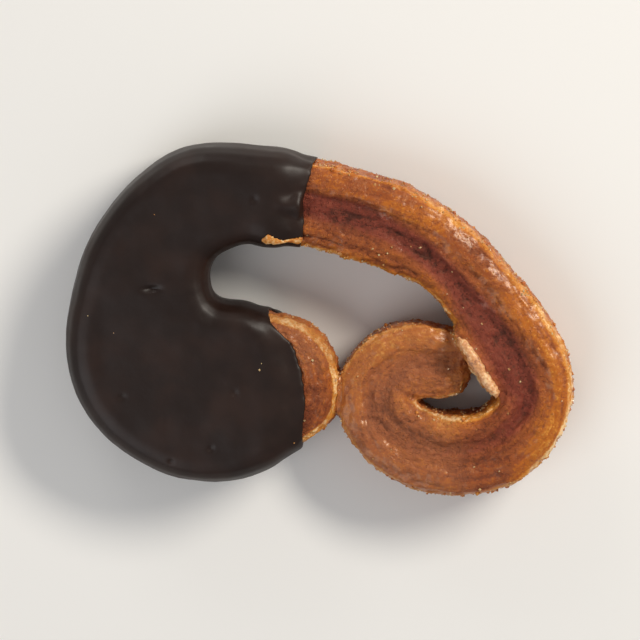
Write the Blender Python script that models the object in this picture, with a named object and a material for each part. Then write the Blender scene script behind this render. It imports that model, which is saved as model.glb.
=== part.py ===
"""Palmier pastry: one strip of layered dough rolled in from both ends, its left roll dipped in chocolate.

It lies on its flat under face, centred over the origin, with +Y towards the arch that joins the rolls.
Sizes are in millimetres until MM turns them into metres.
"""

import math

import bmesh
import bpy
from mathutils import Vector, noise

MM = 0.001

# The strip: a knot gives, for a bearing in degrees from straight up and outwards round the right eye, how
# far the strip's middle lies from the eye, the strip's width, the heights of its upper and under face, and
# where the layers part in a crease, from -1 at the inner edge to 1 at the outer one.
RIGHT_EYE = Vector((15.0, -9.5))
STRIP = [
    (-47.5, 38.0, 10.0, 8.4, 1.6, 0.0),
    (-42.5, 34.7, 10.4, 8.5, 1.5, 0.0),
    (-32, 28.8, 11.0, 8.7, 1.0, 0.0),
    (-14, 22.1, 11.0, 8.9, 0.5, -0.08),
    (3, 17.8, 9.8, 9.2, 0.2, -0.26),
    (24, 13.8, 10.0, 9.4, 0.0, -0.22),
    (55, 11.8, 10.8, 9.4, 0.0, -0.18),
    (87, 12.2, 9.6, 9.2, 0.0, -0.24),
    (123, 10.0, 10.2, 9.0, 0.0, -0.26),
    (163, 7.5, 10.8, 8.8, 0.0, -0.1),
    (214, 6.9, 10.4, 8.6, 0.0, 0.08),
    (255, 7.8, 10.2, 8.4, 0.2, 0.15),
    (288, 8.0, 10.2, 8.1, 0.5, 0.15),
    (321, 6.4, 10.0, 7.8, 0.8, 0.15),
    (357, 4.5, 9.4, 7.5, 1.0, 0.1),
    (402, 5.9, 7.8, 7.3, 1.2, 0.0),
]

# The left roll is drowned in its coat, so only its rim is drawn: bearings and distances round its own
# eye, outwards from where the arch leaves it to the end of the hole under the arch.
LEFT_EYE = Vector((-14.5, -6.5))
LEFT_RIM = [
    (2, 27.9),
    (17, 25.4),
    (36, 21.9),
    (58, 18.4),
    (80, 16.6),
    (103, 15.0),
    (129, 13.3),
    (160, 12.5),
    (192, 12.8),
    (220, 13.8),
    (239, 15.6),
    (252, 17.3),
    (266, 17.2),
    (282, 16.5),
    (297, 14.6),
    (318, 11.1),
    (342, 8.7),
    (356, 9.2),
    (0.5, 11.0),
    (1, 13.0),
    (-2, 15.2),
    (-9, 17.0),
    (-18, 18.6),
]
LEFT_TOP = 9.0
LEFT_FOOT = 1.1

# A flake that has come up along the arch's inner edge: x, y, width, top, foot, crease.
FLAKE = [
    (16.6, 0.2, 0.9, 8.7, 6.4, 0.0),
    (18.2, -2.4, 1.9, 9.3, 6.4, 0.0),
    (20.4, -5.8, 2.3, 9.5, 6.4, 0.0),
    (22.5, -9.0, 1.5, 9.2, 6.4, 0.0),
]
FLAKE_CRAGS = 0.1

STATION = 1.25  # between the sections along the strip
CURVE_STEP = 0.25
SMOOTHING_PASSES = 60
FOLD_SHARE = 0.94  # the part of a bend's radius that the inner half of the strip may fill
FOLD_PASSES = 3
END_ROUNDING = 2.6
END_SHARE = 0.55

# The section is a rounded box whose upper face sinks into the crease and has low ribs beside it.
SQUARENESS = 4.6
UPPER_ACROSS = (1.0, 0.95, 0.82, 0.62, 0.42, 0.22, 0.02, -0.18, -0.4, -0.62, -0.82, -0.95, -1.0)
UNDER_ACROSS = (-0.94, -0.74, -0.37, 0.0, 0.37, 0.74, 0.94)
RELIEF_REACH = 0.9  # the rims beyond this share across stay plain
SAG = 0.6
SAG_WIDTH = 0.32
RIB_HEIGHT = 0.14
RIBS = 4
CRAG_HEIGHT = 0.18
CRAG_LENGTH = 2.8

# The pebble that is the left roll, and its coat.
RIM_POINT = 1.5  # between the points round it
RIM_RADIUS = 3.0
RIM_FULLNESS = 0.7  # under 1, the rims stand squarer than a half circle
RIM_STEPS = 4
RIM_EASING = 12
FACE_GRID = 4.0
FACE_TOUCH = 0.02  # a cut of the face this close to a corner passes through it
FACE_SWELL = 0.3
FACE_SWELL_LENGTH = 11.0
STUB_INSET = 0.5  # hidden in the coat, where the left roll's arch sinks into the strip
STUB_STRIDE = 6  # every so many points of the strip's line make a knot of the stub's sides
STUB_CORE_END = -5.0
STUB_COAT_END = 5.0
STUB_START = -7.0

COAT = 1.1
COAT_LIP = 0.8
COAT_LIP_LENGTH = 4.0
COAT_LIP_CURVE = 1.5
COAT_LIP_FACING = -0.5  # the under face, whose normals point lower than this, keeps its thickness
CLEARANCE = 0.3
HOLLOW_END = 9.0

# The edge of the dip from the top of the arch to the foot of the left roll: x, y.
DIP_EDGE = [
    (-0.4, 26.0),
    (-0.9, 20.4),
    (-1.9, 15.5),
    (-2.2, 10.6),
    (-6.2, 4.5),
    (-6.4, 1.8),
    (-3.4, -2.0),
    (-2.1, -5.6),
    (-1.6, -10.0),
    (-2.0, -14.5),
    (-4.0, -24.0),
]
DIP_RIPPLE = 0.25
DIP_LEAN = 0.12  # the dip reaches further along the under face
DIP_RIPPLE_SEED = 5.0
CUTTER_REACH = 30.0
CUTTER_FOOT = -2.0
CUTTER_HEIGHT = 14.0
CUTTER_ROWS = 7

DOUGH_COLOUR = (0.42, 0.17, 0.06)
DOUGH_ROUGHNESS = 0.55
CHOCOLATE_COLOUR = (0.022, 0.012, 0.009)
CHOCOLATE_ROUGHNESS = 0.35
SMOOTH_ANGLE = 50  # degrees between faces that still shade as one


def curve_points(knots, closed=False):
    """Close-set points along a Catmull-Rom curve through the knots."""
    if closed:
        ends = [knots[-1], *knots, knots[0], knots[1]]
    else:
        ends = [2 * knots[0] - knots[1], *knots, 2 * knots[-1] - knots[-2]]
    points = []
    for before, start, end, after in zip(ends, ends[1:], ends[2:], ends[3:]):
        steps = max(2, round((end.xy - start.xy).length / CURVE_STEP))
        slope_in = (end - before) / 2
        slope_out = (after - start) / 2
        for step in range(steps):
            t = step / steps
            points.append(
                (2 * t**3 - 3 * t**2 + 1) * start
                + (t**3 - 2 * t**2 + t) * slope_in
                + (3 * t**2 - 2 * t**3) * end
                + (t**3 - t**2) * slope_out
            )
    if not closed:
        points.append(knots[-1])
    return points


def smoothed(points, passes, closed=False):
    """The same points with corners eased; the ends of an open line stay put."""
    for _ in range(passes):
        before = points[-1:] + points[:-1]
        after = points[1:] + points[:1]
        eased = [(a + 2 * b + c) / 4 for a, b, c in zip(before, points, after)]
        if not closed:
            eased[0], eased[-1] = points[0], points[-1]
        points = eased
    return points


def resampled(points, spacing):
    """Points an equal way apart along the line, about the spacing given."""
    lengths = [0.0]
    for a, b in zip(points, points[1:]):
        lengths.append(lengths[-1] + (b.xy - a.xy).length)
    count = max(2, round(lengths[-1] / spacing))
    result = []
    index = 0
    for step in range(count + 1):
        target = lengths[-1] * step / count
        while index < len(points) - 2 and lengths[index + 1] < target:
            index += 1
        share = (target - lengths[index]) / max(1e-9, lengths[index + 1] - lengths[index])
        result.append(points[index].lerp(points[index + 1], min(1.0, share)))
    return result


def about(eye, bearing, distance, side):
    """A point by its bearing and distance from a roll's eye; side is -1 for the left roll, 1 for the right."""
    angle = math.radians(bearing)
    return Vector((eye.x + side * distance * math.sin(angle), eye.y + distance * math.cos(angle)))


def strip_line():
    """The strip's middle as (x, y, width, top, foot, crease), from the arch's left end to the tongue."""
    knots = []
    for bearing, distance, *rest in STRIP:
        place = about(RIGHT_EYE, bearing, distance, 1)
        knots.append(Vector((place.x, place.y, *rest)))
    return smoothed(curve_points(knots), SMOOTHING_PASSES)


def tangents(points, closed=False):
    """The unit direction of the line at each point."""
    result = []
    last = len(points) - 1
    for index in range(len(points)):
        before = index - 1 if closed else max(0, index - 1)
        after = (index + 1) % len(points) if closed else min(last, index + 1)
        result.append((points[after].xy - points[before].xy).normalized())
    return result


def narrowed(widths):
    """The same widths with sudden drops spread over their neighbours; none grows."""
    before = widths[:1] + widths
    after = widths[1:] + widths[-1:]
    return [min(b, (a + 2 * b + c) / 4) for a, b, c in zip(before, widths, after)]


def half_widths(points):
    """The strip's reach to the left and right of its middle, drawn in where a bend is too tight."""
    directions = tangents(points)
    lefts = []
    rights = []
    for index, point in enumerate(points):
        before = max(0, index - 1)
        after = min(len(points) - 1, index + 1)
        turn = directions[before].angle_signed(directions[after], 0.0)
        way = (points[after].xy - points[before].xy).length
        bend = -turn / way
        half = point[2] / 2
        room = FOLD_SHARE / max(1e-6, abs(bend))
        lefts.append(min(half, room) if bend > 0 else half)
        rights.append(min(half, room) if bend < 0 else half)
    for _ in range(FOLD_PASSES):
        lefts = narrowed(lefts)
        rights = narrowed(rights)
    return lefts, rights


def round_off(across):
    """The share of the strip's full thickness that is left at a share of its width."""
    return (1 - abs(across) ** SQUARENESS) ** (1 / SQUARENESS)


def section(left, right, middle, rise, crease, relief):
    """The strip's outline across itself as (offset to the left, height), over its top and back under.

    It reaches left and right by different ways, and rises and falls from the middle height by rise.
    """
    points = []
    for across in UPPER_ACROSS:
        height = middle + rise * round_off(across)
        if abs(across) < RELIEF_REACH:
            sag = SAG * math.exp(-(((across - crease) / SAG_WIDTH) ** 2))
            rib = RIB_HEIGHT * math.cos(across * RIBS * math.pi)
            height += relief * (rib - sag)
        points.append((across * (left if across > 0 else right), height))
    for across in UNDER_ACROSS:
        points.append((across * (left if across > 0 else right), middle - rise * round_off(across)))
    return points


def join_rings(bm, rings):
    """Skins each ring of corners to the next."""
    for ring, following in zip(rings, rings[1:]):
        for corner in range(len(ring)):
            beyond = (corner + 1) % len(ring)
            bm.faces.new((ring[corner], ring[beyond], following[beyond], following[corner]))


def mesh_object(name, bm):
    """An object in the scene from a bmesh, facing out and in triangles."""
    bmesh.ops.recalc_face_normals(bm, faces=bm.faces)
    bmesh.ops.triangulate(bm, faces=bm.faces)
    mesh = bpy.data.meshes.new(name)
    bm.to_mesh(mesh)
    bm.free()
    obj = bpy.data.objects.new(name, mesh)
    bpy.context.scene.collection.objects.link(obj)
    return obj


def craggy(point, strength):
    """How far the baked surface is pushed in or out at a point."""
    return strength * noise.noise(point / CRAG_LENGTH)


def sweep(name, line, grow=0.0, relief=1.0, crags=CRAG_HEIGHT):
    """A closed solid along a line of (x, y, width, top, foot, crease), with rounded ends."""
    points = resampled(line, STATION)
    directions = tangents(points)
    lefts, rights = half_widths(points)
    step = (points[1].xy - points[0].xy).length
    last = len(points) - 1
    rounding = min(END_ROUNDING, last * step / 3)
    bm = bmesh.new()
    rings = []
    for index, point in enumerate(points):
        from_end = min(index, last - index) * step
        share = 1.0
        if from_end < rounding:
            share = END_SHARE + (1 - END_SHARE) * math.sqrt(1 - (1 - from_end / rounding) ** 2)
        left = lefts[index] * share
        right = rights[index] * share
        top, foot, crease = point[3:6]
        middle = (top + foot) / 2
        rise = (top - foot) / 2 * share
        left_way = Vector((-directions[index].y, directions[index].x))
        ring = []
        for offset, height in section(left, right, middle, rise, crease, relief * share):
            out = Vector((offset, height - middle)).normalized()
            place = point.xy + left_way * offset
            push = grow + craggy(Vector((place.x, place.y, height)), crags * share)
            place += left_way * out.x * push
            height = max(max(0.0, foot) - grow, height + out.y * push)
            ring.append(bm.verts.new((place.x, place.y, height)))
        rings.append(ring)
    bmesh.ops.contextual_create(bm, geom=rings[0])
    bmesh.ops.contextual_create(bm, geom=rings[-1])
    join_rings(bm, rings)
    return mesh_object(name, bm)


def rim_outline(strip, stub_end, stub_inset):
    """The closed outline of the left roll with a stub of the arch that reaches to stub_end."""
    directions = tangents(strip)
    lefts, rights = half_widths(strip)
    outer = []
    inner = []
    for point, direction, left, right in zip(strip, directions, lefts, rights):
        left_way = Vector((-direction.y, direction.x))
        if point.y > 0 and STUB_START < point.x < stub_end:
            outer.append(point.xy + left_way * (left - stub_inset))
            inner.append(point.xy - left_way * (right - stub_inset))
    rim = [about(LEFT_EYE, bearing, distance, -1) for bearing, distance in LEFT_RIM]
    knots = outer[::-STUB_STRIDE] + rim + inner[::STUB_STRIDE]
    points = [Vector(knot).to_3d() for knot in knots]
    points = smoothed(curve_points(points, closed=True), RIM_EASING, closed=True)
    return [point.xy for point in resampled(points + points[:1], RIM_POINT)[:-1]]


def swell(x, y):
    """The slow rise and fall of a poured face."""
    return FACE_SWELL * noise.noise(Vector((x, y, 0.0)) / FACE_SWELL_LENGTH)


def pebble(name, outline, grow, top, foot):
    """A closed solid on an outline, with rounded rims and a gently uneven upper face."""
    directions = tangents(outline, closed=True)
    outwards = [Vector((direction.y, -direction.x)) for direction in directions]
    area = sum(a.x * b.y - b.x * a.y for a, b in zip(outline, outline[1:] + outline[:1]))
    if area < 0:
        outwards = [-out for out in outwards]
    top += grow
    foot -= grow
    middle = (top + foot) / 2
    rise = (top - foot) / 2
    bm = bmesh.new()
    rings = []
    for step in range(RIM_STEPS, -RIM_STEPS - 1, -1):
        angle = step / RIM_STEPS * math.pi / 2
        inset = RIM_RADIUS * (1 - math.cos(angle))
        height = middle + rise * math.copysign(abs(math.sin(angle)) ** RIM_FULLNESS, angle)
        ring = []
        for place, out in zip(outline, outwards):
            spot = place + out * (grow - inset)
            ring.append(bm.verts.new((spot.x, spot.y, height)))
        rings.append(ring)
    join_rings(bm, rings)
    upper = bm.faces.new(rings[0])
    bm.faces.new(rings[-1])
    cap = [upper]
    for axis in range(2):
        low = min(place[axis] for place in outline)
        high = max(place[axis] for place in outline)
        normal = Vector((1 - axis, axis, 0))
        for cut in range(1, int((high - low) / FACE_GRID) + 1):
            where = normal * (low + cut * FACE_GRID)
            edges = {edge for face in cap for edge in face.edges}
            corners = {corner for face in cap for corner in face.verts}
            geometry = [*cap, *edges, *corners]
            split = bmesh.ops.bisect_plane(
                bm, geom=geometry, plane_co=where, plane_no=normal, dist=FACE_TOUCH
            )
            cap = [item for item in split["geom"] if isinstance(item, bmesh.types.BMFace)]
    cap = set(cap)
    for corner in {corner for face in cap for corner in face.verts}:
        if cap.issuperset(corner.link_faces):
            corner.co.z += swell(corner.co.x, corner.co.y)
    return mesh_object(name, bm)


def dip_line():
    """Points an equal way apart along the edge of the dip."""
    return resampled(curve_points([Vector((x, y, 0.0)) for x, y in DIP_EDGE]), RIM_POINT)


def dip_cutter():
    """A wall to the right of the dip's wavy edge."""
    bm = bmesh.new()
    columns = []
    for point in dip_line():
        near = []
        far = []
        for row in range(CUTTER_ROWS):
            height = CUTTER_FOOT + CUTTER_HEIGHT * row / (CUTTER_ROWS - 1)
            wave = noise.noise(Vector((point.y, height, DIP_RIPPLE_SEED)) / CRAG_LENGTH)
            ripple = DIP_RIPPLE * wave
            lean = DIP_LEAN * (LEFT_TOP - height)
            near.append(bm.verts.new((point.x + ripple + lean, point.y, height)))
            far.append(bm.verts.new((CUTTER_REACH, point.y, height)))
        columns.append(near + far[::-1])
    bm.faces.new(columns[0])
    bm.faces.new(columns[-1])
    join_rings(bm, columns)
    return mesh_object("dip cutter", bm)


def thin_lip(coat):
    """Draws the coat in towards the pastry near the edge of the dip."""
    edge = dip_line()
    mesh = coat.data
    normals = [normal.vector.copy() for normal in mesh.vertex_normals]
    for corner, normal in zip(mesh.vertices, normals):
        beside = min(edge, key=lambda point: abs(point.y - corner.co.y))
        way = max(0.0, beside.x - corner.co.x)
        share = max(0.0, 1 - way / COAT_LIP_LENGTH)
        if normal.z > COAT_LIP_FACING:
            corner.co -= normal * (COAT - COAT_LIP) * share**COAT_LIP_CURVE
            corner.co.z = max(LEFT_FOOT - COAT, corner.co.z)


def combine(target, others, operation, solver="EXACT"):
    """Applies one Boolean on the target and removes what it used."""
    group = bpy.data.collections.new(operation)
    for other in others:
        group.objects.link(other)
    cut = target.modifiers.new(operation, "BOOLEAN")
    cut.operation = operation
    cut.operand_type = "COLLECTION"
    cut.collection = group
    cut.solver = solver
    view = bpy.context.evaluated_depsgraph_get()
    mesh = bpy.data.meshes.new_from_object(target.evaluated_get(view))
    target.modifiers.clear()
    target.data = mesh
    for other in others:
        bpy.data.objects.remove(other)
    bpy.data.collections.remove(group)


def in_triangles(obj):
    """Splits the faces that a Boolean left with many corners."""
    bm = bmesh.new()
    bm.from_mesh(obj.data)
    bmesh.ops.triangulate(bm, faces=bm.faces)
    bm.to_mesh(obj.data)
    bm.free()


def finish(name, colour, roughness):
    """A plain material."""
    material = bpy.data.materials.new(name)
    material.use_nodes = True
    shader = material.node_tree.nodes["Principled BSDF"]
    shader.inputs["Base Color"].default_value = (*colour, 1.0)
    shader.inputs["Roughness"].default_value = roughness
    shader.inputs["Metallic"].default_value = 0.0
    return material


def settle(objects):
    """Turns millimetres into metres and puts the middle of the whole's foot at the origin."""
    corners = [corner.co for obj in objects for corner in obj.data.vertices]
    low = Vector(min(corner[axis] for corner in corners) for axis in range(3))
    high = Vector(max(corner[axis] for corner in corners) for axis in range(3))
    foot = Vector(((low.x + high.x) / 2, (low.y + high.y) / 2, low.z))
    for obj in objects:
        for corner in obj.data.vertices:
            corner.co = (corner.co - foot) * MM
    size = [round(value, 2) for value in high - low]
    move = [round(value, 3) for value in foot]
    print("size in mm", size, "moved by", move)


def build():
    """Clears the scene and makes the two nodes."""
    for obj in list(bpy.data.objects):
        bpy.data.objects.remove(obj)

    strip = strip_line()
    flake = curve_points([Vector(knot) for knot in FLAKE])
    core_outline = rim_outline(strip, STUB_CORE_END, STUB_INSET)
    coat_outline = rim_outline(strip, STUB_COAT_END, 0.0)

    pastry = sweep("pastry", strip)
    core = pebble("left roll", core_outline, 0.0, LEFT_TOP, LEFT_FOOT)
    ledge = sweep("flake", flake, relief=0.0, crags=FLAKE_CRAGS)
    # The tongue's end runs into the arch, so the strip crosses itself: only the manifold solver can join it.
    combine(pastry, [core, ledge], "UNION", "MANIFOLD")

    chocolate = pebble("chocolate", coat_outline, COAT, LEFT_TOP, LEFT_FOOT)
    thin_lip(chocolate)
    arch_end = [point for point in strip if point.x < HOLLOW_END and point.y > 0]
    hollow = sweep("hollow", arch_end, grow=CLEARANCE)
    hollow_core = pebble("hollow core", core_outline, CLEARANCE, LEFT_TOP, LEFT_FOOT)
    combine(chocolate, [hollow, hollow_core, dip_cutter()], "DIFFERENCE")

    pastry.data.materials.append(finish("baked dough", DOUGH_COLOUR, DOUGH_ROUGHNESS))
    chocolate.data.materials.append(finish("dark chocolate", CHOCOLATE_COLOUR, CHOCOLATE_ROUGHNESS))
    for obj in (pastry, chocolate):
        in_triangles(obj)
    settle([pastry, chocolate])
    for obj in (pastry, chocolate):
        obj.data.shade_smooth()
        obj.data.set_sharp_from_angle(angle=math.radians(SMOOTH_ANGLE))
        print(obj.name, "triangles", len(obj.data.polygons))


build()
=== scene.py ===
# %% [markdown]
# # A palmier, half dipped in dark chocolate
# A palmier is a strip of sugared puff pastry that is rolled in from both ends until the two rolls
# meet, cut across and baked lying flat. Its layers run along the strip, so the cut face shows
# them as fine lines that curl with it. This one has an open arch between its rolls, and its left
# roll was dipped in dark chocolate.
#
# The solids come packed, with their true size. This lesson gives them their looks: a crackled,
# sugared skin for the dough and a poured, satin skin for the chocolate.

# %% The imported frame
import math

import bmesh
import bpy
import numpy as np
from mathutils import Matrix, Vector, noise
from mathutils.bvhtree import BVHTree


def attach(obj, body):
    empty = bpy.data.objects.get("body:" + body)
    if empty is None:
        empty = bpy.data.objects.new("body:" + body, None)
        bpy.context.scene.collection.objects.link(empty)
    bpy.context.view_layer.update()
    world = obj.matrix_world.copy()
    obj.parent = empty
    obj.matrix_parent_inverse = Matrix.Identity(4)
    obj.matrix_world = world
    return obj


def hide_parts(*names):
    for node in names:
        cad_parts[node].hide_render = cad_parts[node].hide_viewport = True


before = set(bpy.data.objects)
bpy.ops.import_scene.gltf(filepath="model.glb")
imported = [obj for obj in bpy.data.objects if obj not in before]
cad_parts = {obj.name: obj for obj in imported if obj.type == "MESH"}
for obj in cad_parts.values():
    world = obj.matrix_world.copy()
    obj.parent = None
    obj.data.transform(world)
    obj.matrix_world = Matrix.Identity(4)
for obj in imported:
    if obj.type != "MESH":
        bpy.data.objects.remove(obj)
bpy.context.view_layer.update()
MM = 0.001

# %% [markdown]
# ## The way the strip runs
# Everything on the dough follows the strip: its layers, the dark crease where sugar has pooled,
# its rims. So the first thing to settle is where the strip's middle runs. It curls round the eye
# of the right roll, and is given, as on the solid, by bearings from straight up, distances from
# the eye and widths in millimetres. A smooth curve through those few knots tells every point of
# the dough how far along and how far across the strip it lies.

# %% The strip's middle line
RIGHT_EYE = np.array([15.02, -9.82])
STRIP = np.array([
    (-47.5, 38.0, 10.0),
    (-42.5, 34.7, 10.4),
    (-32, 28.8, 11.0),
    (-14, 22.1, 11.0),
    (3, 17.8, 9.8),
    (24, 13.8, 10.0),
    (55, 11.8, 10.8),
    (87, 12.2, 9.6),
    (123, 10.0, 10.2),
    (163, 7.5, 10.8),
    (214, 6.9, 10.4),
    (255, 7.8, 10.2),
    (288, 8.0, 10.2),
    (321, 6.4, 10.0),
    (357, 4.5, 9.4),
    (395, 5.6, 3.2),
])
# The turn of dough that shows beyond the dip on the left roll, by bearings round the left eye.
LEFT_EYE = np.array([-14.48, -6.82])
LEFT_TURN = np.array([
    (215, 9.0, 9.4),
    (235, 10.6, 9.4),
    (252, 12.4, 9.4),
    (266, 12.4, 9.4),
    (282, 11.7, 9.4),
    (297, 9.9, 9.4),
    (318, 6.5, 9.4),
    (342, 4.2, 9.4),
])
KNOT_STEPS = 30
LINE_EASING = 60


def smooth_line(eye, knots, side):
    """Close-set rows of (x, y, width, bearing) on a curve through the knots."""
    angle = np.radians(knots[:, 0])
    rows = np.column_stack([
        eye[0] + side * knots[:, 1] * np.sin(angle),
        eye[1] + knots[:, 1] * np.cos(angle),
        knots[:, 2],
        knots[:, 0],
    ])
    rows = np.vstack([2 * rows[0] - rows[1], rows, 2 * rows[-1] - rows[-2]])
    line = []
    for before, start, end, after in zip(rows, rows[1:], rows[2:], rows[3:]):
        t = np.linspace(0, 1, KNOT_STEPS, endpoint=False)[:, None]
        line.append(
            (2 * t**3 - 3 * t**2 + 1) * start
            + (t**3 - 2 * t**2 + t) * (end - before) / 2
            + (3 * t**2 - 2 * t**3) * end
            + (t**3 - t**2) * (after - start) / 2
        )
    line = np.vstack(line + [rows[-2:-1]])
    for _ in range(LINE_EASING):
        line[1:-1] = (line[:-2] + 2 * line[1:-1] + line[2:]) / 4
    return line


strip_line = smooth_line(RIGHT_EYE, STRIP, 1)
left_line = smooth_line(LEFT_EYE, LEFT_TURN, -1)
steps = np.linalg.norm(np.diff(strip_line[:, :2], axis=0), axis=1)
print("the strip's middle is", round(steps.sum(), 1), "mm long, in", len(strip_line), "points")

# %% [markdown]
# A point's place on the strip is its way along, its reach across as a share of the half width,
# positive towards the outside, and the bearing there. The nearest stretch of the line is found
# for all points at once.


# %% A point's place on the strip
BATCH = 4000  # points looked up at a time, to spare memory


def place_on(line, points):
    """Way along, share across, bearing and distance in half widths, for points (x, y) in mm."""
    starts = line[:-1, :2]
    runs = line[1:, :2] - starts
    lengths = np.linalg.norm(runs, axis=1)
    ways = np.concatenate([[0], np.cumsum(lengths)])
    along = np.empty(len(points))
    across = np.empty(len(points))
    bearing = np.empty(len(points))
    off = np.empty(len(points))
    for first in range(0, len(points), BATCH):
        batch = points[first:first + BATCH]
        gap = batch[:, None, :] - starts[None]
        share = np.clip((gap * runs).sum(2) / lengths**2, 0, 1)
        rest = gap - share[..., None] * runs
        half = line[:-1, 2] / 2
        distance = np.linalg.norm(rest, axis=2) / half
        best = distance.argmin(1)
        row = np.arange(len(batch))
        side = np.sign(runs[best, 0] * rest[row, best, 1] - runs[best, 1] * rest[row, best, 0])
        picked = share[row, best]
        here = slice(first, first + BATCH)
        along[here] = ways[best] + picked * lengths[best]
        across[here] = side * distance[row, best]
        bearing[here] = line[best, 3] + picked * (line[best + 1, 3] - line[best, 3])
        off[here] = distance[row, best]
    return along, across, bearing, off


probe = np.array([[0.0, 14.5], [27.0, -9.0], [15.0, -17.0]])
for x, y, along, across in zip(*probe.T, *place_on(strip_line, probe)[:2]):
    print(f"({x}, {y}) lies {along:.1f} mm along and {across:.2f} across")

# %% [markdown]
# ## Table, light and camera
# The pastry lies on a pale table and the camera looks down on its face, a little from the side of
# the arch, so that the arch's outer wall just shows. A warm oval light stands behind and to the
# right, where its shine runs along the rims, a broad one fills the shadows from the left, and a
# small low one behind draws the edge of the coat. The view transform is Standard, which keeps
# deep browns deep.

# %% The table
TABLE_SIZE = 1.5
FLOOR_GAP = 0.02 * MM  # keeps the floor from flickering through the flat under face
scene = bpy.context.scene


def piece_from(name, bm, smooth=False):
    """An object of the scene, made from a bmesh, which is freed."""
    mesh = bpy.data.meshes.new(name)
    bm.to_mesh(mesh)
    bm.free()
    if smooth:
        mesh.shade_smooth()
    piece = bpy.data.objects.new(name, mesh)
    scene.collection.objects.link(piece)
    print(name + ":", len(mesh.polygons), "faces")
    return piece


bm = bmesh.new()
bmesh.ops.create_grid(bm, x_segments=2, y_segments=2, size=TABLE_SIZE)
bmesh.ops.translate(bm, verts=bm.verts, vec=(0, 0, -FLOOR_GAP))
table = piece_from("table", bm)

# %% The camera
TARGET = Vector((0.0, 0.0, 5.0)) * MM
VIEW_TILT = math.radians(9)
VIEW_TURN = math.radians(8)
VIEW_DISTANCE = 0.62
VIEW_WIDTH = 0.080
SENSOR = 36.0
scene.view_settings.view_transform = "Standard"
towards = Vector((
    math.sin(VIEW_TURN) * math.sin(VIEW_TILT),
    math.cos(VIEW_TURN) * math.sin(VIEW_TILT),
    math.cos(VIEW_TILT),
))
camera_data = bpy.data.cameras.new("camera")
camera_data.sensor_width = SENSOR
camera_data.lens = SENSOR * VIEW_DISTANCE / VIEW_WIDTH
camera = bpy.data.objects.new("camera", camera_data)
camera.location = TARGET + towards * VIEW_DISTANCE
up = (Vector((0, 1, 0)) - towards * towards.y).normalized()
right = up.cross(towards)
camera.rotation_euler = Matrix((right, up, towards)).transposed().to_euler()
scene.collection.objects.link(camera)
scene.camera = camera
print("lens", round(camera_data.lens), "mm")


# %% Three lights
def soft_light(name, place, width, depth, power, colour):
    """An oval soft light, wide and deep in metres, that looks at the pastry."""
    data = bpy.data.lights.new(name, "AREA")
    data.shape = "ELLIPSE"
    data.size = width
    data.size_y = depth
    data.energy = power
    data.color = colour
    lamp = bpy.data.objects.new(name, data)
    lamp.location = place
    lamp.rotation_euler = (Vector(place) - TARGET).to_track_quat("Z", "Y").to_euler()
    scene.collection.objects.link(lamp)


soft_light("key", (0.37, 0.29, 0.32), 0.3, 0.12, 2.7, (1.0, 0.94, 0.84))
soft_light("fill", (-0.42, -0.34, 0.56), 0.7, 0.7, 2.1, (0.98, 0.98, 1.0))
soft_light("back", (-0.25, 0.6, 0.2), 0.3, 0.3, 0.7, (1.0, 0.97, 0.93))
world = bpy.data.worlds.new("studio")
world.use_nodes = True
sky = world.node_tree.nodes["Background"]
sky.inputs["Color"].default_value = (1.0, 1.0, 1.0, 1.0)
sky.inputs["Strength"].default_value = 0.3
scene.world = world

# %% [markdown]
# ## An even skin for the dough
# A solid that was cut and joined has long thin triangles, which would show in any fine relief. So
# a copy of the dough is merged, wrapped in a skin of small even faces by the Remesh modifier and
# eased by the Smooth modifier. Then each corner can be pushed in or out along its normal, as a
# modeller's tool would.


# %% Even skins
def even_skin(node, name, voxel, passes):
    """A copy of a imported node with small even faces, ready for relief."""
    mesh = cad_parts[node].data.copy()
    mesh.materials.clear()
    bm = bmesh.new()
    bm.from_mesh(mesh)
    bmesh.ops.remove_doubles(bm, verts=bm.verts, dist=1e-6)
    bm.to_mesh(mesh)
    bm.free()
    raw = bpy.data.objects.new(name + " raw", mesh)
    scene.collection.objects.link(raw)
    remesh = raw.modifiers.new("even faces", "REMESH")
    remesh.mode = "VOXEL"
    remesh.voxel_size = voxel
    soften = raw.modifiers.new("soften", "SMOOTH")
    soften.iterations = passes
    soften.factor = 0.5
    depsgraph = bpy.context.evaluated_depsgraph_get()
    skin = bpy.data.meshes.new_from_object(raw.evaluated_get(depsgraph))
    skin.name = name
    piece = bpy.data.objects.new(name, skin)
    scene.collection.objects.link(piece)
    bpy.data.objects.remove(raw)
    print(name, "has", len(skin.vertices), "corners and", len(skin.polygons), "faces")
    return piece


def corners_of(mesh):
    """Places in mm and outward normals of a mesh's corners."""
    places = np.empty(len(mesh.vertices) * 3, np.float32)
    normals = np.empty(len(mesh.vertices) * 3, np.float32)
    mesh.vertices.foreach_get("co", places)
    mesh.vertex_normals.foreach_get("vector", normals)
    return places.reshape(-1, 3).astype(float) / MM, normals.reshape(-1, 3).astype(float)


def place_corners(mesh, places):
    """Moves a mesh's corners to places in mm."""
    mesh.vertices.foreach_set("co", (places * MM).astype(np.float32).ravel())
    mesh.update()


def keep(mesh, name, values):
    """Stores one number a corner on the mesh, for its material."""
    attribute = mesh.attributes.new(name, "FLOAT", "POINT")
    attribute.data.foreach_set("value", values.astype(np.float32))


def cloud(points, size, seed=0.0, octaves=1):
    """Smooth noise from about -1 to 1 at points given in mm, with features of the size given."""
    offset = Vector((seed * 7.3, seed * 3.1, seed * 5.7))
    spots = [Vector(point) / size + offset for point in points]
    if octaves == 1:
        return np.array([noise.noise(spot) for spot in spots])
    return np.array([noise.fractal(spot, 0.9, 2.1, octaves) for spot in spots])


def between(low, high, values):
    """0 below low, 1 above high and a smooth rise between."""
    t = np.clip((values - low) / (high - low), 0, 1)
    return t * t * (3 - 2 * t)


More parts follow.
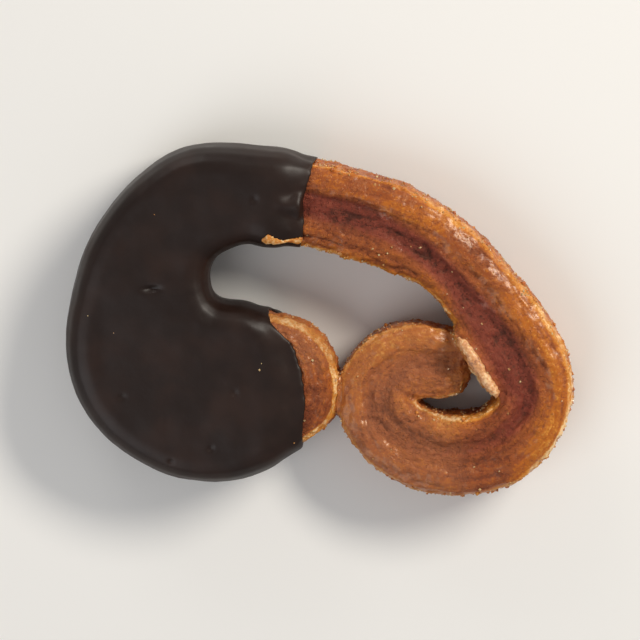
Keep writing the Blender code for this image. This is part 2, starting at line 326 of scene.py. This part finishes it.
DOUGH_VOXEL = 0.264 * MM
DOUGH_PASSES = 2
dough = even_skin("pastry", "baked_dough", DOUGH_VOXEL, DOUGH_PASSES)

# %% [markdown]
# ## The dough's relief
# On the cut face the layers have puffed apart: two broad welts with a sunk crease between them,
# thin cracks that run along the strip, and low terraces where a sheet has torn off. The walls are
# the outermost sheet, so they have no layers to show, only blisters, wrinkles and a grainy crust.
# Each of these is a formula of the place on the strip.

# %% The crease
# Rows of bearing, place across the strip, width inwards, width outwards and strength. The
# strength is higher where the key light falls on the crease and lower where shade falls on it,
# by the rim and on the tongue: painted shade and painted light.
CREASE_AT = np.array([
    (-50, 0.03, 0.26, 0.26, 1.1),
    (-23, 0.05, 0.27, 0.27, 1.1),
    (-15, -0.04, 0.29, 0.29, 1.1),
    (3, -0.22, 0.34, 0.32, 1.05),
    (24, -0.2, 0.6, 0.33, 0.9),
    (52, -0.18, 1.1, 0.33, 0.8),
    (87, -0.22, 1.0, 0.32, 0.75),
    (123, -0.26, 0.5, 0.28, 0.52),
    (163, -0.1, 0.22, 0.2, 0.34),
    (214, 0.08, 0.18, 0.18, 0.3),
    (255, 0.15, 0.18, 0.18, 0.25),
    (400, 0.15, 0.18, 0.18, 0.2),
])
LEFT_START = 300  # mm along, so that the left turn has streaks of its own
LEFT_BEARING = 200.0  # the left turn is as pale as the strip is there

places, normals = corners_of(dough.data)
along, across, bearing, off = place_on(strip_line, places[:, :2])
left_along, left_across, _, left_off = place_on(left_line, places[:, :2])
on_left = left_off < off
along = np.where(on_left, left_along + LEFT_START, along)
across = np.where(on_left, left_across, across)
bearing = np.where(on_left, LEFT_BEARING, bearing)
strip_half = np.interp(bearing, STRIP[:, 0], STRIP[:, 2]) / 2
half_width = np.where(on_left, LEFT_TURN[0, 2] / 2, strip_half)
height = places[:, 2]

face = between(0.35, 0.8, np.abs(normals[:, 2]))
edge_zone = 4 * face * (1 - face)
crease_at, inwards, outwards, crease_strength = (
    np.interp(bearing, CREASE_AT[:, 0], column) for column in CREASE_AT.T[1:]
)
crease_width = np.where(across < crease_at, inwards, outwards)
run = np.column_stack([along * 0.16, across * half_width, height * 0.3])
wander = cloud(run, 2.4, 1)
crease = np.exp(-(((across - crease_at - 0.07 * wander) / crease_width) ** 2)) * crease_strength
print("corners on the left turn:", int(on_left.sum()))


# %% Cracks, terraces and crust
def terraces(values, count, riser):
    """Rounded steps: flat treads with short steep risers."""
    scaled = values * count
    tread = np.floor(scaled)
    return (tread + between(0.0, riser, scaled - tread)) / count


sway = cloud(np.column_stack([along * 0.3, across * 1.5, height * 0.3]), 1.6, 2)
layer_run = np.column_stack([along * 0.17, across * half_width + 0.5 * sway, height * 0.25])
layer_noise = cloud(layer_run, 0.95, 3)
fine_layer_noise = cloud(layer_run, 0.5, 7)
broken = between(-0.3, 0.25, cloud(run, 3.2, 4))
cracks = np.exp(-((layer_noise / 0.09) ** 2)) * broken
fine_cracks = np.exp(-((fine_layer_noise / 0.12) ** 2)) * (1 - 0.6 * broken)
torn_run = np.column_stack([along * 0.22, across * half_width * 0.8, height * 0.45])
torn = terraces(cloud(torn_run, 1.7, 5), 5, 0.3)
blisters = cloud(places, 1.7, 6)
wrinkles = np.abs(cloud(places * (1, 1, 0.45), 1.1, 8))
crags = cloud(places, 0.6, 9, 2)
grit = cloud(places, 0.38, 10)
lip_run = np.column_stack([along * 0.6, np.sign(across) * 4, height * 0.2])
lip = between(-0.05, 0.4, cloud(lip_run, 1.3, 11))
melted_run = np.column_stack([along * 0.4, across * half_width, height * 0.4])
melted = cloud(melted_run, 0.8, 13)
roll_lumps = cloud(places, 0.9, 12)
print("cracked share of the face:", round(float((cracks > 0.5).mean()), 3))

# %% Pushing the skin
# Depths and heights in mm.
CREASE_DEPTH = 0.28
CRACK_DEPTH = 0.24
FINE_CRACK_DEPTH = 0.14
WRINKLE_DEPTH = 0.24
FACE_TERRACE = 0.42
WALL_TERRACE = 0.3
BLISTER_HEIGHT = 0.2
FACE_CRAG = 0.14
WALL_CRAG = 0.16
GRIT_HEIGHT = 0.09
MELTED_RIPPLE = 0.16
ROLL_LUMP = 0.16
ROLL_SINK = 0.03
EDGE_LIP = 0.26
TORN_EDGE_LIP = 0.22  # more, on the arch's inner edge
SKIN_SHRINK = 0.1  # keeps the relief inside the solid's box
LOWEST = 0.02

rough_push = (
    -CRACK_DEPTH * cracks
    - FINE_CRACK_DEPTH * fine_cracks
    + FACE_TERRACE * torn
    + FACE_CRAG * crags
    + GRIT_HEIGHT * grit
)
quiet = 1 - 0.6 * between(0.1, 0.6, across)  # the outer welt is smoother, under its melted sugar
face_push = -CREASE_DEPTH * crease + quiet * rough_push + (1 - quiet) * MELTED_RIPPLE * melted
face_push += between(120, 190, bearing) * (ROLL_LUMP * roll_lumps - ROLL_SINK)
wall_push = (
    BLISTER_HEIGHT * blisters
    - WRINKLE_DEPTH * wrinkles
    + WALL_TERRACE * torn
    + WALL_CRAG * crags
    + GRIT_HEIGHT * grit
)
ragged = EDGE_LIP + TORN_EDGE_LIP * (across < 0) * between(30, 0, bearing)
push = face * face_push + (1 - face) * wall_push + ragged * edge_zone * lip - SKIN_SHRINK
push *= 1 - 0.75 * between(0.9, 0.2, height)  # the foot lies flat on the tray
places = places + normals * push[:, None]
places[:, 2] = np.maximum(places[:, 2], LOWEST)
place_corners(dough.data, places)
print("the skin moved from", round(push.min(), 2), "to", round(push.max(), 2), "mm")

# %% What the dough's finish will read
# Paler on the left turn's top and darker low down, and paler on the roll's bottom and tongue:
# partly paler dough, partly painted light and a painted milky sheen.
left_turn_top_light = np.interp(places[:, 1], (-12, -4), (-1.5, 1))
pale_sheen_and_light_by_bearing = between(130, 190, bearing) + 1.3 * between(290, 330, bearing)
# Rims and the top of the walls are made lighter: partly a pale sugared crust, partly a painted
# highlight along the upper walls.
rim_and_wall_highlight = np.maximum(edge_zone, 0.8 * (1 - face))
kept = {
    "along": along,
    "across": across * half_width,
    "share": across,
    "crease": crease,
    "pale": np.where(on_left, left_turn_top_light, pale_sheen_and_light_by_bearing),
    # The outer welt is made lighter on the strip's right-hand stretch, which faces the key light:
    # painted light.
    "key_lit_side": between(10, 70, bearing) * between(150, 105, bearing),
    "face": face,
    "edge": rim_and_wall_highlight * between(5.0, 7.5, height),
    # Cracks and wrinkle troughs are made darker: darker layer lines and painted shade in these
    # hollows.
    "cracks": np.clip(face * (cracks + 0.6 * fine_cracks) + (1 - face) * wrinkles, 0, 1),
    # Raised terraces, blisters and crags are made lighter, hollows darker: painted light and shade.
    "relief": face * torn * 2 + (1 - face) * (blisters + torn) + 0.4 * crags,
}
for name, values in kept.items():
    keep(dough.data, name, values)
print("kept on the dough:", ", ".join(kept))
dough.data.shade_smooth()

# %% [markdown]
# ## Shader maths in plain words
# A material's nodes are easier to read as expressions. Value wraps one socket and adds a Math
# node for each operator, and Finish makes any other node from its type, its settings and what
# goes into its sockets.


# %% Values and finishes
class Value:
    """A socket that can stand in a Python expression."""

    def __init__(self, finish, socket):
        self.finish = finish
        self.socket = socket

    def maths(self, operation, first, second):
        return self.finish.node("ShaderNodeMath", {"operation": operation}, {0: first, 1: second})

    def __add__(self, other):
        return self.maths("ADD", self, other)

    def __sub__(self, other):
        return self.maths("SUBTRACT", self, other)

    def __mul__(self, other):
        return self.maths("MULTIPLY", self, other)

    def __rsub__(self, other):
        return self.maths("SUBTRACT", other, self)

    def __neg__(self):
        return self.maths("MULTIPLY", self, -1.0)

    __radd__ = __add__
    __rmul__ = __mul__

    def rise(self, low, high):
        """0 below low, 1 above high, smooth between."""
        settings = {"interpolation_type": "SMOOTHSTEP", "clamp": True}
        values = {"Value": self, "From Min": low, "From Max": high}
        return self.finish.node("ShaderNodeMapRange", settings, values)


class Finish:
    """One material, built around its Principled shader."""

    def __init__(self, name):
        self.material = bpy.data.materials.new(name)
        self.material.use_nodes = True
        self.tree = self.material.node_tree
        self.shader = self.tree.nodes["Principled BSDF"]

    def node(self, kind, settings, values, output=0):
        """A node of a kind, with its settings and what goes into its sockets; gives one output."""
        made = self.tree.nodes.new(kind)
        for key, setting in settings.items():
            setattr(made, key, setting)
        for key, value in values.items():
            self.feed(made.inputs[key], value)
        return Value(self, made.outputs[output])

    def feed(self, socket, value):
        """Links a Value to a socket, or sets the socket to a constant."""
        if isinstance(value, Value):
            self.tree.links.new(value.socket, socket)
        else:
            socket.default_value = value

    def attribute(self, name):
        return self.node("ShaderNodeAttribute", {"attribute_name": name}, {}, "Fac")

    def object_place(self):
        return self.node("ShaderNodeTexCoord", {}, {}, "Object")

    def noise(self, place, size, detail=2.0, rough=0.5):
        """Noise from 0 to 1 whose features are about size across, in the units of place."""
        values = {"Vector": place, "Scale": 1 / size, "Detail": detail, "Roughness": rough}
        return self.node("ShaderNodeTexNoise", {}, values, "Fac")

    def vector(self, x, y, z):
        return self.node("ShaderNodeCombineXYZ", {}, {"X": x, "Y": y, "Z": z})

    def constants(self, **sockets):
        """Constants for the shader's sockets, named with _ for each space."""
        for name, value in sockets.items():
            self.shader.inputs[name.replace("_", " ")].default_value = value

    def blend(self, factor, first, second):
        """From the first colour to the second as factor goes from 0 to 1."""
        values = {0: factor, 6: first, 7: second}
        return self.node("ShaderNodeMix", {"data_type": "RGBA"}, values, 2)

    def ramp(self, value, stops):
        """A colour that passes through the stops, each a place and a colour, as value rises."""
        (place, colour), *rest = stops
        for next_place, next_colour in rest:
            colour = self.blend(value.rise(place, next_place), colour, next_colour)
            place = next_place
        return colour

    def bump(self, height, distance, strength=1.0, under=None):
        """A normal for a height of the distance given, over the bump under it."""
        values = {"Height": height, "Distance": distance, "Strength": strength}
        if under is not None:
            values["Normal"] = under
        return self.node("ShaderNodeBump", {}, values)

    def wear(self, *pieces):
        """Dresses pieces in this finish alone."""
        for piece in pieces:
            piece.data.materials.clear()
            piece.data.materials.append(self.material)


def shade(red, green, blue):
    """A colour as a painter reads it from a screen, 0 to 255, as the shader wants it."""
    linear = []
    for channel in (red, green, blue):
        part = channel / 255
        linear.append(part / 12.92 if part <= 0.04045 else ((part + 0.055) / 1.055) ** 2.4)
    return (*linear, 1.0)


print("a golden rim is", [round(part, 3) for part in shade(205, 135, 62)])

# %% [markdown]
# ## Baked, caramelised dough
# Sugar between the layers has turned to caramel: golden on the rims, red brown on the face and
# almost black in the crease. The colour runs in streaks along the strip, so its noise is
# stretched along and squeezed across. The gloss is caramel too, in patches.

# %% The dough's finish
# Golden to burnt, then the crease's wine-dark caramel, and the tan blended onto the rolls,
# partly less baked dough, partly painted light and a painted milky sheen.
BURNT = shade(84, 38, 27)
RUST = shade(120, 57, 34)
BROWN = shade(148, 76, 38)
ORANGE = shade(177, 98, 33)
GOLD = shade(207, 135, 54)
CREAM = shade(240, 201, 146)
DEEP_PLUM = shade(70, 26, 25)
PLUM = shade(120, 50, 40)
PALE_PLUM = shade(154, 77, 54)
TAN = shade(158, 104, 76)

crust = Finish("baked_dough")
place = crust.object_place()
(
    along_v, across_v, share_v, crease_v, pale_sheen_and_light_v, key_lit_side_v, face_v, pale_edge_and_highlight_v, cracks_and_shade_v, relief_light_v
) = (crust.attribute(name) for name in kept)

streak_place = crust.vector(along_v * 0.2, across_v * 1.0, face_v * 2.0)
streaks = crust.noise(streak_place, 0.45, 4.0, 0.6)
wide_streaks = crust.noise(streak_place, 1.6, 2.0)
patches = crust.noise(place, 4.5 * MM, 3.0)
spots = crust.noise(place, 1.1 * MM, 3.0, 0.6)
grains = crust.noise(place, 0.4 * MM, 3.0, 0.65)
dust = crust.noise(place, 0.33 * MM, 1.0).rise(0.58, 0.7)
pits = crust.noise(place, 0.42 * MM, 2.0, 0.6).rise(0.44, 0.32)

outer = share_v.rise(0.05, 0.6)
inner = (-share_v).rise(0.3, 0.9)
tone = (
    0.38
    # painted light on the outer welt where it faces the key light
    + outer * (0.05 + key_lit_side_v * 0.16)
    + inner * 0.12
    # lighter rims and upper walls: pale sugared crust and painted highlight
    + pale_edge_and_highlight_v * (0.38 + inner * 0.14)
    # paler rolls: paler dough, painted light and a painted milky sheen
    + pale_sheen_and_light_v * 0.05
    # darker in cracks and wrinkles: layer lines and painted shade
    - cracks_and_shade_v * 0.16
    + (streaks - 0.5) * 0.3
    + (wide_streaks - 0.5) * 0.2
    + (patches - 0.5) * 0.3
    + (spots - 0.5) * 0.4
    + (grains - 0.5) * 0.4
    + dust * 0.1
    - pits * 0.08
    # painted light on raised parts
    + relief_light_v * 0.12
)
BAKE_STOPS = [(0.0, BURNT), (0.2, RUST), (0.4, BROWN), (0.6, ORANGE), (0.82, GOLD), (1.05, CREAM)]
STAIN_STOPS = [(0.12, DEEP_PLUM), (0.4, PLUM), (0.75, PALE_PLUM)]
golden = crust.ramp(tone - crease_v * 0.12, BAKE_STOPS)
stained = crust.ramp(tone - (crease_v - 0.8) * 0.2, STAIN_STOPS)
stain = crease_v + (spots - 0.5) * 0.7 + (streaks - 0.5) * 0.5 + (grains - 0.5) * 0.5 - outer * 0.1
colour = crust.blend(stain.rise(0.15, 0.75), golden, stained)
# blends in tan: paler dough, painted light and a painted milky sheen
colour = crust.blend(pale_sheen_and_light_v.rise(0.0, 1.0) * 0.32, colour, TAN)
crust.feed(crust.shader.inputs["Base Color"], colour)
gloss = (spots * 0.5 + patches * 0.5 + outer * 0.1 - crease_v * 0.1).rise(0.48, 0.6)
crust.feed(crust.shader.inputs["Roughness"], 0.62 - gloss * 0.3 + (grains - 0.5) * 0.3)
crust.feed(crust.shader.inputs["Coat Weight"], gloss * 0.26)
crust.constants(
    Coat_Roughness=0.19,
    Specular_IOR_Level=0.42,
    Specular_Tint=(1.0, 0.8, 0.5, 1.0),
    Subsurface_Weight=0.1,
    Subsurface_Radius=(1.0, 0.35, 0.12),
    Subsurface_Scale=0.7 * MM,
)
fine = crust.noise(place, 0.17 * MM, 3.0, 0.65)
rough = 1.0 - gloss * 0.7
coarse = crust.bump((streaks + dust * 0.4 - pits * 0.4) * rough, 0.16 * MM, 0.9)
crust.feed(crust.shader.inputs["Normal"], crust.bump(fine * rough, 0.06 * MM, 0.9, coarse))
crust.wear(dough)
print("the dough's finish has", len(crust.tree.nodes), "nodes")

# %% [markdown]
# ## The dark chocolate
# Chocolate that has set on a dipped pastry is a satin skin: flat where it drained, rounded at the
# rims, with slow swells and a rolled lip where the dip ended. The solid leaves a hair's gap round
# the dough, so here the coat's lip is drawn in until it touches. A search tree over the dough's
# faces answers which of its points is nearest to a corner of the coat.

# %% The edge of the dip
LIP_LENGTH = 4.5  # over which the coat thins towards the edge of the dip
LIP_SHARE = (0.34, 0.6)  # of its thickness that is left there, on the arch and on the roll
# The edge of the dip, as places (x, y) from the roll's foot to the arch's top.
DIP_EDGE = np.array([
    (-4.0, -24.3),
    (-2.0, -14.8),
    (-1.6, -10.3),
    (-2.1, -5.9),
    (-3.4, -2.3),
    (-6.4, 1.5),
    (-6.2, 4.2),
    (-2.2, 10.3),
    (-1.9, 15.2),
    (-0.9, 20.1),
    (-0.4, 25.7),
])
COAT_VOXEL = 0.27 * MM
COAT_PASSES = 8
coat = even_skin("chocolate", "dark_chocolate", COAT_VOXEL, COAT_PASSES)
places, normals = corners_of(coat.data)
edge_way = np.interp(places[:, 1], DIP_EDGE[:, 1], DIP_EDGE[:, 0]) - places[:, 0]
left_share = np.interp(places[:, 1], (-6, 6), LIP_SHARE[::-1])
thinning = left_share + (1 - left_share) * between(-0.5, LIP_LENGTH, edge_way)
print("corners past the edge of the dip:", int((edge_way < 0).sum()))

# %% Drawing the coat in
LIP_REACH = 2.0
LIP_GAP = 0.75  # the coat's inner side lies closer to the dough than this
LIP_SINK = 0.12
FOOT_HEIGHT = 0.8  # below it the coat keeps its thickness


def tree_of(mesh):
    """A search tree over a mesh's faces, in mm."""
    return BVHTree.FromPolygons(
        [vertex.co / MM for vertex in mesh.vertices],
        [tuple(polygon.vertices) for polygon in mesh.polygons],
    )


dough_tree = tree_of(dough.data)
is_inside = np.zeros(len(places))
for index, (spot, normal) in enumerate(zip(places, normals)):
    found, way, _, gap = dough_tree.find_nearest(Vector(spot), LIP_REACH)
    if found is None:
        continue
    facing = -way.dot(Vector(normal))
    if facing > 0.2 and gap < LIP_GAP:
        places[index] = found - way * LIP_SINK
        is_inside[index] = 1
    elif spot[2] > FOOT_HEIGHT:
        places[index] = found + (Vector(spot) - found) * thinning[index]
print("corners drawn in to the dough:", int(is_inside.sum()))

# %% Swells, ripples and burst bubbles
# Each burst bubble has its place, its reach along x and y, and its depth, in millimetres.
BUBBLES = [
    (-20.8, 4.6, 0.9, 0.3, 0.6),
    (-13.5, -15.5, 0.3, 0.3, 0.25),
    (-24.5, -9.0, 0.4, 0.3, 0.2),
    (-10.5, -8.5, 0.3, 0.4, 0.2),
    (-8.0, 15.8, 0.35, 0.35, 0.2),
    (-18.5, -17.2, 0.25, 0.25, 0.25),
]
SWELL_HEIGHT = 0.12
RIPPLE_HEIGHT = 0.05
COAT_SHRINK = 0.08  # keeps the swells inside the solid's box
swells = cloud(places, 7.0, 21)
ripples = cloud(places, 2.4, 22)
waves = np.cos(edge_way * 2.1 + 1.5 * cloud(places, 5.0, 23)) * np.exp(-np.abs(edge_way) / 3.0)
skin_push = SWELL_HEIGHT * swells + RIPPLE_HEIGHT * ripples + RIPPLE_HEIGHT * waves - COAT_SHRINK
for x, y, reach_x, reach_y, depth in BUBBLES:
    off_bubble = np.hypot((places[:, 0] - x) / reach_x, (places[:, 1] - y) / reach_y)
    skin_push -= depth * np.exp(-(off_bubble**2)) * (normals[:, 2] > 0.3)
places = places + normals * (skin_push * (1 - is_inside))[:, None]
places[:, 2] = np.maximum(places[:, 2], 0.0)
place_corners(coat.data, places)
print("the coat moved from", round(skin_push.min(), 2), "to", round(skin_push.max(), 2), "mm")

# %% Easing the coat near its edge
LIP_EASING = 6


def ease(bm, verts, passes):
    """Smooths some corners of a bmesh."""
    for _ in range(passes):
        bmesh.ops.smooth_vert(
            bm, verts=verts, factor=0.5, use_axis_x=True, use_axis_y=True, use_axis_z=True
        )


bm = bmesh.new()
bm.from_mesh(coat.data)
bm.verts.ensure_lookup_table()
near_edge = [bm.verts[index] for index in np.flatnonzero(edge_way < LIP_LENGTH)]
ease(bm, near_edge, LIP_EASING)
bm.to_mesh(coat.data)
bm.free()
coat.data.shade_smooth()
print("corners eased near the dip's edge:", len(near_edge))

# %% The chocolate's finish
glaze = Finish("dark_chocolate")
place = glaze.object_place()
slow = glaze.noise(place, 6.0 * MM, 3.0)
film = glaze.noise(place, 1.8 * MM, 3.0, 0.5)
specks = glaze.noise(place, 0.3 * MM, 2.0)
colour = glaze.blend(slow.rise(0.35, 0.7), shade(29, 16, 11), shade(40, 23, 16))
glaze.feed(glaze.shader.inputs["Base Color"], colour)
glaze.feed(glaze.shader.inputs["Roughness"], 0.3 + slow * 0.16 + film * 0.12)
glaze.constants(Specular_IOR_Level=0.32)
soft = glaze.bump(film, 0.08 * MM, 0.4)
glaze.feed(glaze.shader.inputs["Normal"], glaze.bump(specks, 0.008 * MM, 0.5, soft))
glaze.wear(coat)
print("the chocolate's finish has", len(glaze.tree.nodes), "nodes")

# %% The table's finish
top = Finish("pale_table")
top.constants(Base_Color=(0.86, 0.85, 0.83, 1.0), Roughness=0.6)
top.wear(table)
print("the table's finish has", len(top.tree.nodes), "nodes")

# %% [markdown]
# ## Sugar and crumbs
# A palmier is rolled in sugar, so crystals that didn't melt sit all over it, most on the rims and
# walls, among crumbs of its own crust. They are scattered over the faces of the dough's skin.
# Where the coat hides a face, a ray from it meets the coat, so that face is passed over. The dice
# have a fixed seed, which gives the same crumbs on every run.

# %% Where they can lie
SEED = 12
dice = np.random.default_rng(SEED)
skin = dough.data
count = len(skin.polygons)
middles = np.empty(count * 3, np.float32)
facings = np.empty(count * 3, np.float32)
areas = np.empty(count, np.float32)
skin.polygons.foreach_get("center", middles)
skin.polygons.foreach_get("normal", facings)
skin.polygons.foreach_get("area", areas)
middles = middles.reshape(-1, 3).astype(float) / MM
facings = facings.reshape(-1, 3).astype(float)
strip_off = place_on(strip_line, middles[:, :2])[3]
left_off = place_on(left_line, middles[:, :2])[3]
coat_tree = tree_of(coat.data)
COAT_REACH = 6.0  # how far a ray from the dough looks for the coat
COAT_CLEAR = 0.35  # how far from the coat a grain stays


def is_bare(spot, facing):
    """Whether nothing of the coat lies over the dough there, and nothing of it is close."""
    over = coat_tree.ray_cast(Vector(spot), Vector(facing), COAT_REACH)[0]
    return over is None and coat_tree.find_nearest(Vector(spot), COAT_CLEAR)[0] is None


def scatter(number, weights):
    """Faces of the dough picked by weight, no face twice, without those under the coat."""
    chances = areas * weights
    picks = dice.choice(count, size=2 * number, replace=False, p=chances / chances.sum())
    return [pick for pick in picks if is_bare(middles[pick], facings[pick])][:number]


rim_share = between(0.7, 1.0, np.minimum(strip_off, left_off))
rim_share = rim_share * np.where(left_off < strip_off, 0.5, 1)
clusters = between(-0.15, 0.35, cloud(middles, 2.6, 31))
raised = between(0.4, 1.0, middles[:, 2])
print("faces to scatter on:", count)


# %% Sugar crystals
CRYSTALS = 1200
CRYSTALS_ON_COAT = 6
CRYSTAL_SIZES = (0.1, 0.26)


def add_crystal(bm, spot, size):
    """A cube, stretched and turned at random; its place and size are in mm."""
    turn = Vector(dice.normal(size=3)).to_track_quat("Z", "Y")
    scale = Vector(dice.uniform(0.6, 1.2, size=3)) * size * MM
    bmesh.ops.create_cube(bm, size=1.0, matrix=Matrix.LocRotScale(Vector(spot) * MM, turn, scale))


bm = bmesh.new()
for pick in scatter(CRYSTALS, (0.04 + rim_share) * (0.15 + clusters) * raised):
    size = dice.uniform(*CRYSTAL_SIZES)
    add_crystal(bm, middles[pick] + facings[pick] * size * 0.2, size)
top_of_coat = [
    vertex.index
    for vertex in coat.data.vertices
    if vertex.normal.z > 0.9 and vertex.co.z > 8 * MM
]
for corner in dice.choice(top_of_coat, CRYSTALS_ON_COAT, replace=False):
    add_crystal(bm, coat.data.vertices[corner].co / MM, dice.uniform(0.1, 0.2))
sugar = piece_from("sugar", bm)


# %% Crumbs
CRUMBS = 170
CRUMB_SIZES = (0.2, 0.6)


def add_crumb(bm, spot, size, seed):
    """A small ragged lump; its place and size are in mm."""
    made = bmesh.ops.create_icosphere(bm, subdivisions=2, radius=1.0)
    for vertex in made["verts"]:
        swell = 1 + 0.7 * noise.noise(vertex.co * 1.3 + Vector((seed, 0, 0)))
        vertex.co = (Vector(spot) + vertex.co * swell * size / 2) * MM


bm = bmesh.new()
for pick in scatter(CRUMBS, (0.03 + rim_share) * (0.3 + clusters) * raised):
    add_crumb(bm, middles[pick], dice.uniform(*CRUMB_SIZES), pick * 0.37)
bmesh.ops.recalc_face_normals(bm, faces=bm.faces)
crumbs = piece_from("crumbs", bm, smooth=True)

# %% [markdown]
# ## The pale sliver and the bare patch
# One sheet of the layers has come up along the arch's inner edge, and the coat has left a scrap
# of golden crust bare on the rim of the arch. Both are made the same way: a sphere is drawn out
# along its own line and pressed flat on the skin below, where every corner looks for the nearest
# point, so that it hugs the form. A fold along its middle stands up. Starting from a sphere keeps
# such a thin piece closed all round.

# %% The pale sliver and the bare patch
# Places (x, y) along each one's middle, and its widths there.
SLIVER = [
    (17.3, -1.4, 0.6),
    (17.9, -2.3, 1.8),
    (18.9, -3.9, 1.7),
    (20.0, -5.6, 1.6),
    (21.1, -7.3, 1.6),
    (21.9, -8.5, 1.5),
    (22.3, -9.2, 1.0),
]
BARE_PATCH = [
    (-7.2, 10.6, 0.4),
    (-6.4, 10.5, 2.3),
    (-5.6, 10.2, 1.6),
    (-4.5, 9.9, 0.8),
    (-3.4, 9.8, 0.8),
    (-2.4, 9.8, 1.4),
    (-1.4, 9.9, 0.8),
]
SCRAP_SEGMENTS = 16
SCRAP_RINGS = 90
SCRAP_THICKNESS = 0.3
SCRAP_EASING = 4
SCRAP_START = 9.6  # the height from which its corners look for the skin
SCRAP_TOP = 9.95


def scrap(name, tree, line, fold):
    """A ragged sheet that hugs a skin along a line of (x, y, width), with a fold that stands up."""
    line = np.array(line)
    ways = np.linspace(0, 1, len(line))
    bm = bmesh.new()
    bmesh.ops.create_uvsphere(bm, u_segments=SCRAP_SEGMENTS, v_segments=SCRAP_RINGS, radius=1.0)
    for vertex in bm.verts:
        share = math.acos(max(-1.0, min(1.0, vertex.co.z))) / math.pi
        angle = math.atan2(vertex.co.y, vertex.co.x)
        row, side = math.cos(angle), math.sin(angle)
        x, y, width = (np.interp(share, ways, column) for column in line.T)
        ahead = Vector([np.interp(share + 0.02, ways, column) for column in line.T[:2]])
        behind = Vector([np.interp(share - 0.02, ways, column) for column in line.T[:2]])
        way = (ahead - behind).normalized()
        torn_edge = 0.3 * noise.noise(Vector((share * 12, row, 3.0)))
        torn_edge += 0.12 * noise.noise(Vector((share * 40, row, 6.0)))
        reach = (row / 2 + torn_edge * abs(row)) * width
        spot = Vector((x + way.y * reach, y - way.x * reach, SCRAP_START))
        found, normal = tree.find_nearest(spot)[:2]
        dents = 0.12 * noise.noise(Vector((share * 10, row * 2, 9.0)))
        rise = 0.05 + (1 - row**2) * (fold + dents) * width + side * SCRAP_THICKNESS / 2
        vertex.co = (found + normal * rise) * MM
    ease(bm, bm.verts, SCRAP_EASING)
    for vertex in bm.verts:
        vertex.co.z = min(vertex.co.z, SCRAP_TOP * MM)
    bmesh.ops.recalc_face_normals(bm, faces=bm.faces)
    return piece_from(name, bm, smooth=True)


sliver = scrap("pale_sliver", dough_tree, SLIVER, 0.35)
patch = scrap("bare_patch", coat_tree, BARE_PATCH, 0.05)

# %% Finishes of the sugar, the crumbs and the scraps
crystal = Finish("sugar")
crystal.constants(Roughness=0.12, Transmission_Weight=0.35)
cloudy = crystal.noise(crystal.object_place(), 2.0 * MM).rise(0.4, 0.6)
melted_to_clear = crystal.blend(cloudy, shade(214, 150, 84), shade(244, 214, 160))
crystal.feed(crystal.shader.inputs["Base Color"], melted_to_clear)
crystal.wear(sugar)


def flaky(name, stops):
    """A crumb's or a torn sheet's finish: mottled through the colours of the stops."""
    flake = Finish(name)
    place = flake.object_place()
    broad = flake.noise(place, 1.3 * MM, 3.0)
    thin = flake.noise(place, 0.32 * MM, 3.0)
    tone = (broad * 0.55 + thin * 0.45).rise(0.3, 0.68)
    flake.feed(flake.shader.inputs["Base Color"], flake.ramp(tone, stops))
    flake.feed(flake.shader.inputs["Roughness"], 0.3 + thin * 0.3)
    flake.feed(flake.shader.inputs["Normal"], flake.bump(thin, 0.06 * MM, 0.7))
    flake.constants(
        Subsurface_Weight=0.2,
        Subsurface_Radius=(1.0, 0.5, 0.25),
        Subsurface_Scale=0.5 * MM,
    )
    return flake


bare_layers = [(0.0, TAN), (0.4, shade(208, 146, 94)), (1.0, shade(244, 200, 150))]
flaky("crumbs", [(0.0, BROWN), (0.4, ORANGE), (1.0, GOLD)]).wear(crumbs)
flaky("bare_crust", [(0.0, ORANGE), (0.4, GOLD), (1.0, CREAM)]).wear(patch)
flaky("pale_flake", bare_layers).wear(sliver)
print("materials:", [material.name for material in bpy.data.materials])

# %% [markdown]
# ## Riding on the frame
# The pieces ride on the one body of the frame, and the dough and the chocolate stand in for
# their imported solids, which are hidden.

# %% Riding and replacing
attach(dough, "root")
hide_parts("pastry")
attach(coat, "root")
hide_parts("chocolate")
for piece in (sugar, crumbs, sliver, patch):
    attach(piece, "root")
